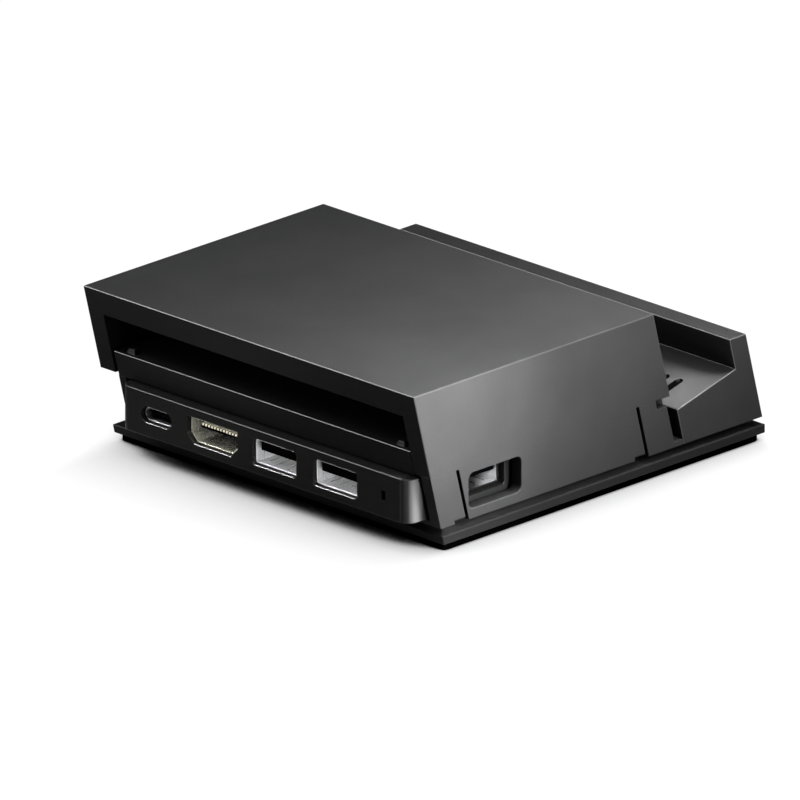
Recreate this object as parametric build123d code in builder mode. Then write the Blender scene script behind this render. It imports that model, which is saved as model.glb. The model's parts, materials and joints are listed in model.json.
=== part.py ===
from build123d import *
from math import cos, floor, radians, tan
import os

os.makedirs("parts", exist_ok=True)

# Sizes are in millimetres. A drop is measured down from the top of the cover,
# and a reach towards the front from the cover's top rear edge.

# Outer form
width = 102.0
lean = 14.5  # degrees that every front and rear wall tips back
cover_depth = 74.8
body_height = 32.8
skirt_gap = 0.8  # hub's top to the skirt's lower edge
shadow_gap = 1.95
plate_thickness = 2.05
plate_step = 0.8  # plate in front of the lip's foot
mat_thickness = 1.9
mat_inset = 1.0
mat_corner = 1.0
edge_round = 0.3
small_round = 0.25

# Cover
cover_wall = 3.0
cover_roof = 3.0
roof_rib_height = 2.0
roof_rib_thickness = 1.2
roof_rib_pitch = 16.0
roof_rib_count = 5
frame_stile = 4.8
frame_rail = 6.0
frame_depth = 4.0

# Storage shelf
shelf_drop = 14.8
shelf_inset = 5.8  # from the cover's outer face, beside the cable channel
shelf_fit = 0.2
deck_thickness = 2.4
fascia_thickness = 3.0
stop_nub = (2.5, 2.0, 1.0)  # wide, deep, high
stop_nub_inset = 4.0
stop_nub_setback = 1.2
stop_nub_draft = 20.0  # degrees

# Lower housing and side panel
side_wall = 3.0
floor_thickness = 1.3
channel_depth = 5.7  # cable channel under the skirt
channel_wall = 2.2
slit_width = 0.95
rear_slit_reach = 7.85
notch_length = 3.4
notch_height = 0.9
post_width = 5.15  # between the front slit and the step
post_step_width = 3.0
post_step_drop = 2.2
post_setback = 1.7  # behind the cover's front edge
pillar_diameter = 8.0
pillar_cap = 4.0
cover_screw_span = 76.0  # between the screws, across
pillar_gap = 2.0  # hub to the rear pillars
pillar_front_gap = 5.8  # front pillars' middle to the cover's front wall
hub_stop_width = 40.0
hub_stop_height = 4.0
hub_stop_thickness = 1.8
hub_stop_gap = 0.3
panel_tab = (3.0, 6.0, 1.2)  # inwards, along, thick
panel_tab_setback = (26.0, 8.0)  # behind the front slit
window_width = 16.4
window_height = 8.3
window_corner = 1.5

# Cradle
trough_width = 20.1  # square to the lean, cover face to lip
trough_depth = 7.6  # along the lean, lip top to floor
lip_drop = 12.1
lip_thickness = 5.2
cradle_gap = 1.2  # cover face to the cradle's rear edge
cradle_fit = 0.1
cradle_wall = 3.0
trough_floor = 2.5
cradle_rib_thickness = 2.0
cradle_rib_span = 34.0
vent_width = 2.1
vent_length = 8.0
vent_pitch = 4.07
vent_margin = 8.2  # end face to the first slot's middle
vent_setback = 8.8  # lip wall to the slots' front ends

# Base plate
plinth_inset = 5.0
plinth_rib = 4.0
plinth_pad = 9.0
base_screw_span = 56.0
base_boss_diameter = 6.5
base_boss_height = 5.5
base_boss_gap = 1.25  # hub to the first row
housing_screw_setback = 2.8  # second row, behind the cover's front edge
cradle_screw_setback = 3.4  # third row, in front of the trough

# Screws
screw_diameter = 2.5
screw_clearance = 0.2
screw_head_diameter = 5.0
screw_head_height = 1.6
screw_bite = 6.0
cover_boss_diameter = 6.5
hub_screw_diameter = 1.8
hub_screw_head = 3.4
hub_screw_bite = 3.5

# Port hub
hub_height = 10.3
hub_rear_reach = 2.4
hub_side_inset = 4.0
hub_end_gap = 1.1  # hub to the wall by the cable channel
hub_headroom = 0.4  # hub to the shelf's strip
hub_corner = 2.75
hub_round = 0.3
hub_wall = 1.5
hub_lid_thickness = 1.3
hub_lid_fit = 0.12
board_thickness = 1.2
board_fit = 0.3
hub_boss_diameter = 4.5
hub_boss_inset = 4.0
hub_boss_front_inset = 22.0

# Ports, in a row from the hub's end beside the cable channel
port_fit = 0.25
port_recess = 0.95
side_port_recess = 1.5
sheet = 0.3
insert_fit = 0.05
port_margin = 6.95  # hub's end to the power port
light_margin = 7.6  # light to the hub's other end
port_spread = (5.35, 5.05, 5.6, 8.35)  # shares of the spare length, one after each port
side_port_place = 23.0  # from the hub's rear face
side_port_margin = 4.05  # side port to the hub's front face

data_width = 13.1
data_height = 5.7
data_length = 13.8
data_corner = 0.6
data_tongue = (11.1, 2.2, 10.2)  # wide, thick, long
data_tongue_rise = 1.2
data_contacts = 4
data_contact = (1.0, 0.2, 7.0)
data_contact_pitch = 2.2
insert_depth = 2.6
wing = (0.8, 4.0)  # wide, long
wing_setback = 3.5
spring = (2.4, 4.6)  # wide, long
spring_slot = 0.35
spring_span = 6.0
spring_setback = 2.2

video_width = 15.0
video_height = 5.7
video_length = 11.6
video_chamfer = 2.0
video_tongue = (11.4, 0.6, 7.4)
video_tongue_rise = 0.6
video_contacts = 12
video_upper_contact = (0.45, 0.5, 7.5)
video_lower_contact = (0.4, 0.12, 7.1)
video_contact_pitch = 0.92

power_width = 8.9
power_height = 3.26
power_length = 7.6
power_sheet = 0.3
power_tongue = (6.7, 0.7, 4.6)
power_insert_depth = 1.6

light_size = (1.2, 2.1)  # wide, high
light_setback = 0.4
light_pipe_length = 4.2  # hub's rear face to the lamp's middle
led_size = (1.6, 1.6)
led_gap = 0.1  # lamp's top to the underside of the light pipe's bar

# Board parts: across, along, high
hub_chip_size = (9.0, 9.0, 1.0)
video_chip_size = (7.0, 7.0, 0.9)
power_chip_size = (5.0, 5.0, 0.8)
inductor_size = (5.2, 5.2, 2.6)
hub_chip_place = (-6.0, -7.0)  # from the board's middle
video_chip_place = (11.0, -6.0)
power_chip_place = (20.5, -1.0)  # in from the hub's end, and from the board's middle
inductor_place = (13.5, -1.5)
chip_round = 0.3
capacitor_diameter = 4.0
capacitor_height = 4.2
capacitor_pitch = 5.5
capacitor_count = 3
capacitor_place = (3.0, -7.0)

cut_over = 1.0  # how far a cut runs past the face that it opens

# Worked out from the sizes above
lean_slope = tan(radians(lean))
lean_cosine = cos(radians(lean))
lip_inner_reach = cover_depth + trough_width / lean_cosine
lip_outer_reach = lip_inner_reach + lip_thickness
cradle_reach = cover_depth + cradle_gap
post_reach = cover_depth - post_setback
post_step_reach = post_reach - post_step_width
front_slit_reach = post_step_reach - post_width - slit_width
plate_z = mat_thickness + plate_thickness
body_z = plate_z + shadow_gap
floor_z = body_z + floor_thickness
height = body_z + body_height
depth = lip_outer_reach + body_height * lean_slope + plate_step
skirt_z = floor_z + hub_height + skirt_gap
shelf_z = height - shelf_drop
deck_z = shelf_z - deck_thickness
lip_z = height - lip_drop
wall_x = width / 2 - side_wall
channel_x = width / 2 - channel_depth

hub_end_x = channel_x - channel_wall - hub_end_gap
hub_width = hub_end_x + width / 2 - hub_side_inset
hub_depth = side_port_place + data_width / 2 + side_port_margin
hub_x = hub_end_x - hub_width / 2
hub_rear_y = depth / 2 - hub_rear_reach
hub_y = hub_rear_y - hub_depth / 2
hub_front_y = hub_rear_y - hub_depth
hub_top_z = floor_z + hub_height
fascia_z = hub_top_z + hub_headroom
port_z = floor_z + hub_height / 2
lid_z = floor_z + hub_lid_thickness
board_top = port_z - power_height / 2
board_z = board_top - board_thickness
side_port_y = hub_rear_y - side_port_place

socket_widths = (power_width, video_width, data_width, data_width)
spare_length = hub_width - port_margin - light_margin - sum(socket_widths)
port_gaps = [spare_length * share / sum(port_spread) for share in port_spread]
power_place = port_margin + power_width / 2
video_place = power_place + (power_width + video_width) / 2 + port_gaps[0]
data_place = video_place + (video_width + data_width) / 2 + port_gaps[1]
data_pitch = data_width + port_gaps[2]
light_place = hub_width - light_margin

screw_hole = screw_diameter + screw_clearance
hub_screw_hole = hub_screw_diameter + screw_clearance
cover_screw_z = deck_z - pillar_cap
cover_screw_rows = (
    hub_front_y - pillar_gap - pillar_diameter / 2,
    depth / 2 - cover_depth + cover_wall + pillar_front_gap,
)
base_screw_rows = (
    hub_front_y - base_boss_gap - base_boss_diameter / 2,
    depth / 2 - cover_depth + housing_screw_setback,
    depth / 2 - lip_inner_reach - cradle_screw_setback,
)
cover_screw_places = [(side * cover_screw_span / 2, y) for y in cover_screw_rows for side in (-1, 1)]
base_screw_places = [(side * base_screw_span / 2, y) for y in base_screw_rows for side in (-1, 1)]
housing_screw_places = base_screw_places[:4]
cradle_screw_places = base_screw_places[4:]
hub_screw_places = [
    (hub_x + side * (hub_width / 2 - inset), hub_y + end * (hub_depth / 2 - hub_boss_inset))
    for inset, end in ((hub_boss_inset, 1), (hub_boss_front_inset, -1))
    for side in (-1, 1)
]


def lean_y(reach, z):
    return depth / 2 - reach - (height - z) * lean_slope


# Corners, in Y and Z, of a leaning block between two reaches and two heights.
def slab(rear, front, top, bottom):
    return (
        (lean_y(rear, top), top),
        (lean_y(rear, bottom), bottom),
        (lean_y(front, bottom), bottom),
        (lean_y(front, top), top),
    )


# Cover: a leaning cap, open below, with a frame round the mouth of the storage bay.
with BuildPart() as top_cover:
    with BuildSketch(Plane.YZ):
        Polygon(*slab(0, cover_depth, height, skirt_z), align=None)
    extrude(amount=width / 2, both=True)
    lower_edges = top_cover.edges().group_by(Axis.Z)[0]
    fillet(top_cover.edges() - lower_edges, min(edge_round, cover_wall / 3))
    with BuildSketch(Plane.YZ):
        Polygon(
            *slab(frame_depth, cover_depth - cover_wall, height - cover_roof, skirt_z - cut_over),
            align=None,
        )
    extrude(amount=width / 2 - cover_wall, both=True, mode=Mode.SUBTRACT)
    with BuildSketch(Plane.YZ):
        Polygon(*slab(-cut_over, frame_depth + cut_over, height - frame_rail, skirt_z - cut_over), align=None)
    extrude(amount=width / 2 - frame_stile, both=True, mode=Mode.SUBTRACT)
    with BuildSketch(Plane.XY.offset(height - cover_roof - roof_rib_height)):
        with GridLocations(roof_rib_pitch, 0, roof_rib_count, 1):
            with Locations((0, depth / 2 - cover_depth / 2)):
                Rectangle(roof_rib_thickness, cover_depth - 2 * (frame_depth + cover_wall))
    extrude(amount=roof_rib_height)
    with BuildSketch(Plane.XY.offset(shelf_z)):
        with Locations(*cover_screw_places):
            Circle(cover_boss_diameter / 2)
    extrude(amount=height - cover_roof - shelf_z)
    with BuildSketch(Plane.XY.offset(shelf_z)):
        with Locations(*cover_screw_places):
            Circle(screw_hole / 2)
    extrude(amount=screw_bite + screw_clearance, mode=Mode.SUBTRACT)
top_cover.part.label = "top_cover"
export_step(top_cover.part, "parts/top_cover.step")

# Shelf: floor of the bay, with the strip that closes the frame below the bay's mouth.
shelf_left = -width / 2 + frame_stile + shelf_fit
shelf_right = width / 2 - shelf_inset
shelf_front = cover_depth - cover_wall - shelf_fit
with BuildPart() as storage_shelf:
    with BuildSketch(Plane.YZ.offset(shelf_left)):
        Polygon(*slab(0, shelf_front, shelf_z, deck_z), align=None)
        Polygon(*slab(0, fascia_thickness, shelf_z, fascia_z), align=None)
    extrude(amount=shelf_right - shelf_left)
    mouth_edge = storage_shelf.edges().filter_by(Axis.X).group_by(Axis.Z)[-1].sort_by(Axis.Y)[-1]
    fillet(mouth_edge, min(small_round, deck_thickness / 3))
    with BuildSketch(Plane.XY.offset(shelf_z)):
        with Locations((shelf_left + stop_nub_inset, 0), (shelf_right - stop_nub_inset, 0)):
            with Locations((0, lean_y(0, shelf_z) - stop_nub_setback - stop_nub[1] / 2)):
                Rectangle(stop_nub[0], stop_nub[1])
    extrude(amount=stop_nub[2], taper=stop_nub_draft)
    with BuildSketch(Plane.XY.offset(deck_z)):
        with Locations(*cover_screw_places):
            Circle(screw_hole / 2)
    extrude(amount=deck_thickness, mode=Mode.SUBTRACT)
storage_shelf.part.label = "storage_shelf"
export_step(storage_shelf.part, "parts/storage_shelf.step")

# Lower housing: floor, outer leg and post on one side, inset wall by the cable channel on the other.
with BuildPart() as lower_housing:
    with BuildSketch(Plane.YZ.offset(-wall_x)):
        Polygon(*slab(0, cradle_reach - cradle_fit, floor_z, body_z), align=None)
    extrude(amount=wall_x + channel_x)
    with BuildSketch(Plane.YZ.offset(-wall_x)):
        Polygon(*slab(cover_depth - cover_wall, cover_depth, skirt_z, body_z), align=None)
    extrude(amount=wall_x + channel_x)
    with BuildSketch(Plane.YZ.offset(-width / 2)):
        Polygon(*slab(0, rear_slit_reach, skirt_z, body_z), align=None)
        Polygon(
            *slab(rear_slit_reach - notch_length, rear_slit_reach, body_z + notch_height, body_z),
            align=None,
            mode=Mode.SUBTRACT,
        )
        Polygon(*slab(front_slit_reach + slit_width, post_step_reach, skirt_z, body_z), align=None)
        Polygon(*slab(post_step_reach, post_reach, skirt_z - post_step_drop, body_z), align=None)
        Polygon(*slab(post_reach, cradle_reach - cradle_fit, floor_z, body_z), align=None)
    extrude(amount=side_wall)
    with BuildSketch(Plane.YZ.offset(channel_x)):
        Polygon(*slab(0, cover_depth - cover_wall, fascia_z, body_z), align=None)
        Polygon(*slab(fascia_thickness + shelf_fit, cover_depth - cover_wall, deck_z, body_z), align=None)
        with Locations((side_port_y, port_z)):
            RectangleRounded(window_width, window_height, window_corner, mode=Mode.SUBTRACT)
    extrude(amount=-channel_wall)
    with BuildSketch(Plane.XY.offset(body_z)):
        with Locations(*cover_screw_places):
            Circle(pillar_diameter / 2)
    extrude(amount=deck_z - body_z)
    with BuildSketch(Plane.XY.offset(body_z)):
        with Locations(*housing_screw_places):
            Circle(base_boss_diameter / 2)
    extrude(amount=floor_thickness + base_boss_height)
    with BuildSketch(Plane.XY.offset(floor_z)):
        with Locations((hub_x, hub_front_y - hub_stop_gap - hub_stop_thickness / 2)):
            Rectangle(hub_stop_width, hub_stop_thickness)
    extrude(amount=hub_stop_height)
    with BuildSketch(Plane.XY.offset(body_z)):
        with Locations(*cover_screw_places):
            Circle(screw_head_diameter / 2 + screw_clearance)
    extrude(amount=cover_screw_z - body_z, mode=Mode.SUBTRACT)
    with BuildSketch(Plane.XY.offset(cover_screw_z)):
        with Locations(*cover_screw_places):
            Circle(screw_hole / 2)
    extrude(amount=pillar_cap, mode=Mode.SUBTRACT)
    with BuildSketch(Plane.XY.offset(body_z)):
        with Locations(*housing_screw_places):
            Circle(screw_hole / 2)
    extrude(amount=screw_bite, mode=Mode.SUBTRACT)
lower_housing.part.label = "lower_housing"
export_step(lower_housing.part, "parts/lower_housing.step")

# Side panel: insert between the slits, with the window to the side port.
with BuildPart() as side_panel:
    with BuildSketch(Plane.YZ.offset(-width / 2)):
        Polygon(*slab(rear_slit_reach + slit_width, front_slit_reach, skirt_z, body_z), align=None)
        Polygon(
            *slab(front_slit_reach - notch_length, front_slit_reach, body_z + notch_height, body_z),
            align=None,
            mode=Mode.SUBTRACT,
        )
        with Locations((side_port_y, port_z)):
            RectangleRounded(window_width, window_height, window_corner, mode=Mode.SUBTRACT)
    extrude(amount=side_wall)
    window_rim = side_panel.faces().sort_by(Axis.X)[0].inner_wires()[0].edges()
    fillet(window_rim, min(small_round, side_wall / 3))
    with BuildSketch(Plane.YZ.offset(-wall_x)):
        for setback in panel_tab_setback:
            with Locations((lean_y(front_slit_reach - setback, floor_z), floor_z + panel_tab[2] / 2)):
                Rectangle(panel_tab[1], panel_tab[2])
    extrude(amount=panel_tab[0])
side_panel.part.label = "side_panel"
export_step(side_panel.part, "parts/side_panel.step")

# Cradle: trough square to the lean, open at both ends, with a lip in front and vents in its floor.
foot_z = lip_z - trough_depth * lean_cosine
foot_y = lean_y(lip_inner_reach, foot_z)
trough_plane = Plane(origin=(0, foot_y, foot_z), x_dir=(1, 0, 0), z_dir=(0, lean_slope, 1))
floor_end_z = foot_z - (lip_inner_reach - cradle_reach) * lean_cosine**2 * lean_slope
under_z = foot_z - trough_floor / lean_cosine
under_end_z = floor_end_z - trough_floor / lean_cosine
front_inner_reach = lip_outer_reach - cradle_wall
under_front_z = under_z + (front_inner_reach - lip_inner_reach) * lean_cosine**2 * lean_slope
boss_top_z = under_z + trough_floor / 2 - (cradle_screw_places[0][1] - foot_y) * lean_slope
hollow_end_x = width / 2 - cradle_wall
rib_outer_x = (cradle_rib_span + cradle_rib_thickness) / 2
rib_inner_x = (cradle_rib_span - cradle_rib_thickness) / 2
hollows = ((-hollow_end_x, -rib_outer_x), (-rib_inner_x, rib_inner_x), (rib_outer_x, hollow_end_x))
vent_count = floor((width - 2 * vent_margin) / vent_pitch) + 1
with BuildPart() as cradle:
    with BuildSketch(Plane.YZ):
        with BuildLine():
            Polyline(
                (lean_y(lip_outer_reach, lip_z), lip_z),
                (lean_y(lip_inner_reach, lip_z), lip_z),
                (foot_y, foot_z),
                (lean_y(cradle_reach, floor_end_z), floor_end_z),
                (lean_y(cradle_reach, body_z), body_z),
                (lean_y(lip_outer_reach, body_z), body_z),
                close=True,
            )
        make_face()
    extrude(amount=width / 2, both=True)
    foot_edge = cradle.edges().filter_by(Axis.X).sort_by_distance((0, foot_y, foot_z))[0]
    lower_edges = cradle.edges().group_by(Axis.Z)[0]
    fillet(cradle.edges() - lower_edges - [foot_edge], min(small_round, trough_floor / 3))
    for start, end in hollows:
        with BuildSketch(Plane.YZ.offset(start)):
            with BuildLine():
                Polyline(
                    (lean_y(front_inner_reach, under_front_z), under_front_z),
                    (lean_y(cradle_reach - cut_over, under_end_z), under_end_z),
                    (lean_y(cradle_reach - cut_over, body_z - cut_over), body_z - cut_over),
                    (lean_y(front_inner_reach, body_z - cut_over), body_z - cut_over),
                    close=True,
                )
            make_face()
        extrude(amount=end - start, mode=Mode.SUBTRACT)
    with BuildSketch(Plane.XY.offset(body_z)):
        with Locations(*cradle_screw_places):
            Circle(base_boss_diameter / 2)
    extrude(amount=boss_top_z - body_z)
    with BuildSketch(Plane.XY.offset(body_z)):
        with Locations(*cradle_screw_places):
            Circle(screw_hole / 2)
    extrude(amount=screw_bite, mode=Mode.SUBTRACT)
    with BuildSketch(trough_plane):
        with GridLocations(vent_pitch, 0, vent_count, 1):
            with Locations((0, vent_setback + vent_length / 2)):
                SlotOverall(vent_length, vent_width, rotation=90)
    extrude(amount=-trough_floor, mode=Mode.SUBTRACT)
cradle.part.label = "cradle"
export_step(cradle.part, "parts/cradle.step")

# Base plate: thin plate with a raised plinth that leaves the shadow gap.
plate_front = -depth / 2
plate_rear = lean_y(0, plate_z)
plinth_width = width - 2 * plinth_inset
plinth_depth = plate_rear - plate_front - 2 * plinth_inset
plinth_y = (plate_rear + plate_front) / 2
seam_y = lean_y(cradle_reach, body_z)
with BuildPart() as base_plate:
    with BuildSketch(Plane.YZ):
        with BuildLine():
            Polyline(
                (plate_front, plate_z),
                (plate_rear, plate_z),
                (lean_y(0, mat_thickness), mat_thickness),
                (plate_front, mat_thickness),
                close=True,
            )
        make_face()
    extrude(amount=width / 2, both=True)
    fillet(base_plate.edges(), min(small_round, plate_thickness / 3))
    with BuildSketch(Plane.XY.offset(plate_z)):
        with Locations((0, plinth_y)):
            Rectangle(plinth_width, plinth_depth)
            Rectangle(plinth_width - 2 * plinth_rib, plinth_depth - 2 * plinth_rib, mode=Mode.SUBTRACT)
        with Locations((0, seam_y)):
            Rectangle(plinth_width - plinth_rib, 2 * plinth_rib)
        with Locations(*base_screw_places):
            Circle(plinth_pad / 2)
    extrude(amount=shadow_gap)
    with Locations(Plane.XY.offset(mat_thickness).rotated((180, 0, 0))):
        with Locations(*[(x, -y) for x, y in base_screw_places]):
            CounterSinkHole(screw_hole / 2, screw_head_diameter / 2 + screw_clearance)
base_plate.part.label = "base_plate"
export_step(base_plate.part, "parts/base_plate.step")

# Mat: rubber sheet under the plate, set in from its edges.
mat_rear = lean_y(0, mat_thickness) - mat_inset
mat_front = plate_front + mat_inset
with BuildPart() as foot_mat:
    with BuildSketch():
        with Locations((0, (mat_rear + mat_front) / 2)):
            RectangleRounded(width - 2 * mat_inset, mat_rear - mat_front, mat_corner)
    extrude(amount=mat_thickness)
    chamfer(foot_mat.faces().sort_by(Axis.Z)[0].edges(), min(small_round, mat_thickness / 3))
foot_mat.part.label = "foot_mat"
export_step(foot_mat.part, "parts/foot_mat.step")

# Screws that hold the cover: heads in the housing's pillars, points in the cover's bosses.
with BuildPart() as cover_screws:
    with BuildSketch(Plane.XY.offset(cover_screw_z)):
        with Locations(*cover_screw_places):
            Circle(screw_head_diameter / 2)
    extrude(amount=-screw_head_height)
    with BuildSketch(Plane.XY.offset(cover_screw_z)):
        with Locations(*cover_screw_places):
            Circle(screw_diameter / 2)
    extrude(amount=shelf_z + screw_bite - cover_screw_z)
cover_screws.part.label = "cover_screws"
export_step(cover_screws.part, "parts/cover_screws.step")

# Countersunk screws that hold the base plate to the housing and the cradle.
base_screw_head = (screw_head_diameter - screw_diameter) / 2
with BuildPart() as base_screws:
    with BuildSketch(Plane.XY.offset(mat_thickness)):
        with Locations(*base_screw_places):
            Circle(screw_diameter / 2)
    extrude(amount=body_z + screw_bite - screw_clearance - mat_thickness)
    with Locations(*[(x, y, mat_thickness) for x, y in base_screw_places]):
        Cone(
            screw_head_diameter / 2,
            screw_diameter / 2,
            base_screw_head,
            align=(Align.CENTER, Align.CENTER, Align.MIN),
        )
base_screws.part.label = "base_screws"
export_step(base_screws.part, "parts/base_screws.step")


# Planes on the hub's faces, looking out of the port, with the board's side down.
def rear_port(place):
    return Plane(origin=(hub_end_x - place, hub_rear_y, port_z), x_dir=(-1, 0, 0), z_dir=(0, 1, 0))


power_port = rear_port(power_place)
video_port = rear_port(video_place)
left_port = rear_port(data_place)
right_port = rear_port(data_place + data_pitch)
light_port = rear_port(light_place)
side_port = Plane(origin=(hub_end_x - hub_width, side_port_y, port_z), x_dir=(0, -1, 0), z_dir=(-1, 0, 0))
host_port = Plane(origin=(hub_end_x, side_port_y, port_z), x_dir=(0, 1, 0), z_dir=(1, 0, 0))


# Outline of the D-shaped video port: square at the top, chamfered below.
def video_outline(grow):
    half = video_width / 2 + grow
    rise = video_height / 2 + grow
    cut = video_chamfer + grow * (2 - 2**0.5)
    return (
        (-half, rise),
        (half, rise),
        (half, cut - rise),
        (half - cut, -rise),
        (cut - half, -rise),
        (-half, cut - rise),
    )


# Hub case: rounded box, open below, with a cut-out for each port.
with BuildPart() as hub_case:
    with BuildSketch(Plane.XY.offset(floor_z)):
        with Locations((hub_x, hub_y)):
            RectangleRounded(hub_width, hub_depth, hub_corner)
    extrude(amount=hub_height)
    fillet(hub_case.faces().sort_by(Axis.Z)[-1].edges(), min(hub_round, hub_wall / 2))
    fillet(hub_case.faces().sort_by(Axis.Z)[0].edges(), min(hub_round, hub_wall / 2))
    with BuildSketch(Plane.XY.offset(floor_z)):
        with Locations((hub_x, hub_y)):
            RectangleRounded(hub_width - 2 * hub_wall, hub_depth - 2 * hub_wall, hub_corner - hub_wall)
    extrude(amount=hub_height - hub_wall, mode=Mode.SUBTRACT)
    with BuildSketch(Plane.XY.offset(board_top)):
        with Locations(*hub_screw_places):
            Circle(hub_boss_diameter / 2)
    extrude(amount=hub_top_z - hub_wall - board_top)
    with BuildSketch(Plane.XY.offset(board_top)):
        with Locations(*hub_screw_places):
            Circle(hub_screw_hole / 2)
    extrude(amount=hub_screw_bite + screw_clearance, mode=Mode.SUBTRACT)
    for port in (power_port, host_port):
        with BuildSketch(port):
            SlotOverall(power_width + 2 * port_fit, power_height + 2 * port_fit)
        extrude(amount=-hub_wall, mode=Mode.SUBTRACT)
    for port in (left_port, right_port, side_port):
        with BuildSketch(port):
            RectangleRounded(data_width + 2 * port_fit, data_height + 2 * port_fit, data_corner + port_fit)
        extrude(amount=-hub_wall, mode=Mode.SUBTRACT)
    with BuildSketch(video_port):
        Polygon(*video_outline(port_fit), align=None)
    extrude(amount=-hub_wall, mode=Mode.SUBTRACT)
    with BuildSketch(light_port):
        Rectangle(light_size[0] + 2 * insert_fit, light_size[1] + 2 * insert_fit)
    extrude(amount=-hub_wall, mode=Mode.SUBTRACT)
hub_case.part.label = "hub_case"
export_step(hub_case.part, "parts/hub_case.step")

# Hub lid: plate inside the case's open side, with a standoff under each board hole.
lid_inset = hub_wall + hub_lid_fit
with BuildPart() as hub_lid:
    with BuildSketch(Plane.XY.offset(floor_z)):
        with Locations((hub_x, hub_y)):
            RectangleRounded(hub_width - 2 * lid_inset, hub_depth - 2 * lid_inset, hub_corner - lid_inset)
    extrude(amount=hub_lid_thickness)
    with BuildSketch(Plane.XY.offset(lid_z)):
        with Locations(*hub_screw_places):
            Circle(hub_boss_diameter / 2)
    extrude(amount=board_z - lid_z)
    with Locations(Plane.XY.offset(floor_z).rotated((180, 0, 0))):
        with Locations(*[(x, -y) for x, y in hub_screw_places]):
            CounterSinkHole(hub_screw_hole / 2, hub_screw_head / 2 + screw_clearance)
hub_lid.part.label = "hub_lid"
export_step(hub_lid.part, "parts/hub_lid.step")

# Board, with a notch for each port that is sunk into its edge.
board_inset = hub_wall + board_fit
board_width = hub_width - 2 * board_inset
board_depth = hub_depth - 2 * board_inset
data_notch = data_width + 2 * board_fit
video_notch = video_width + 2 * board_fit
with BuildPart() as hub_board:
    with BuildSketch(Plane.XY.offset(board_z)):
        with Locations((hub_x, hub_y)):
            RectangleRounded(board_width, board_depth, hub_corner - board_inset)
        for port in (left_port, right_port):
            with Locations((port.origin.X, hub_rear_y)):
                Rectangle(data_notch, 2 * (port_recess + data_length + board_fit), mode=Mode.SUBTRACT)
        with Locations((video_port.origin.X, hub_rear_y)):
            Rectangle(video_notch, 2 * (port_recess + video_length + board_fit), mode=Mode.SUBTRACT)
        with Locations((side_port.origin.X, side_port_y)):
            Rectangle(2 * (side_port_recess + data_length + board_fit), data_notch, mode=Mode.SUBTRACT)
        with Locations(*hub_screw_places):
            Circle(hub_screw_hole / 2, mode=Mode.SUBTRACT)
    extrude(amount=board_thickness)
hub_board.part.label = "hub_board"
export_step(hub_board.part, "parts/hub_board.step")

# Screws through lid and board into the case's bosses.
hub_screw_sink = (hub_screw_head - hub_screw_diameter) / 2
with BuildPart() as hub_screws:
    with BuildSketch(Plane.XY.offset(floor_z)):
        with Locations(*hub_screw_places):
            Circle(hub_screw_diameter / 2)
    extrude(amount=board_top + hub_screw_bite - floor_z)
    with Locations(*[(x, y, floor_z) for x, y in hub_screw_places]):
        Cone(
            hub_screw_head / 2,
            hub_screw_diameter / 2,
            hub_screw_sink,
            align=(Align.CENTER, Align.CENTER, Align.MIN),
        )
hub_screws.part.label = "hub_screws"
export_step(hub_screws.part, "parts/hub_screws.step")


# Slots round the spring fingers in a shell's floor, whose roots are on the mouth's side.
def spring_slots(mouth, shell_height):
    shell_floor = Plane(
        origin=mouth.from_local_coords((0, -shell_height / 2, 0)), x_dir=mouth.x_dir, z_dir=mouth.y_dir
    )
    with BuildSketch(shell_floor) as slots:
        with GridLocations(spring_span, 0, 2, 1):
            with Locations((0, spring_setback)):
                Rectangle(
                    spring[0] + 2 * spring_slot, spring[1] + spring_slot, align=(Align.CENTER, Align.MIN)
                )
                Rectangle(
                    spring[0], spring[1], align=(Align.CENTER, Align.MIN), mode=Mode.SUBTRACT
                )
    return slots.sketch


# Wide flat data port: folded metal shell with wings on the board, tongue and contact strips.
def make_data_port(name, mouth):
    back = mouth.offset(-data_length)
    inner_width = data_width - 2 * sheet
    inner_height = data_height - 2 * sheet
    with BuildPart() as shell:
        with BuildSketch(mouth):
            RectangleRounded(data_width, data_height, data_corner)
            RectangleRounded(inner_width, inner_height, data_corner - sheet, mode=Mode.SUBTRACT)
        extrude(amount=-data_length)
        with BuildSketch(back):
            Rectangle(inner_width, inner_height)
        extrude(amount=sheet)
        with BuildSketch(mouth.offset(-wing_setback)):
            with Locations((0, board_top - port_z + sheet / 2)):
                Rectangle(data_width + 2 * wing[0], sheet)
            Rectangle(inner_width, inner_height, mode=Mode.SUBTRACT)
        extrude(amount=-wing[1])
        extrude(spring_slots(mouth, data_height), amount=2 * sheet, both=True, mode=Mode.SUBTRACT)
    shell.part.label = f"{name}_shell"
    export_step(shell.part, f"parts/{name}_shell.step")

    tongue_root = back.offset(sheet + insert_depth)
    with BuildPart() as tongue:
        with BuildSketch(back.offset(sheet)):
            RectangleRounded(inner_width - 2 * insert_fit, inner_height - 2 * insert_fit, data_corner - sheet)
        extrude(amount=insert_depth)
        with BuildSketch(tongue_root):
            with Locations((0, data_tongue_rise)):
                Rectangle(data_tongue[0], data_tongue[1])
        extrude(amount=data_tongue[2])
    tongue.part.label = f"{name}_tongue"
    export_step(tongue.part, f"parts/{name}_tongue.step")

    with BuildPart() as contacts:
        with BuildSketch(tongue_root):
            with Locations((0, data_tongue_rise - data_tongue[1] / 2 - data_contact[1] / 2)):
                with GridLocations(data_contact_pitch, 0, data_contacts, 1):
                    Rectangle(data_contact[0], data_contact[1])
        extrude(amount=data_contact[2])
    contacts.part.label = f"{name}_contacts"
    export_step(contacts.part, f"parts/{name}_contacts.step")


make_data_port("left_data", left_port.offset(-port_recess))
make_data_port("right_data", right_port.offset(-port_recess))
make_data_port("side_data", side_port.offset(-side_port_recess))


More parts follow.
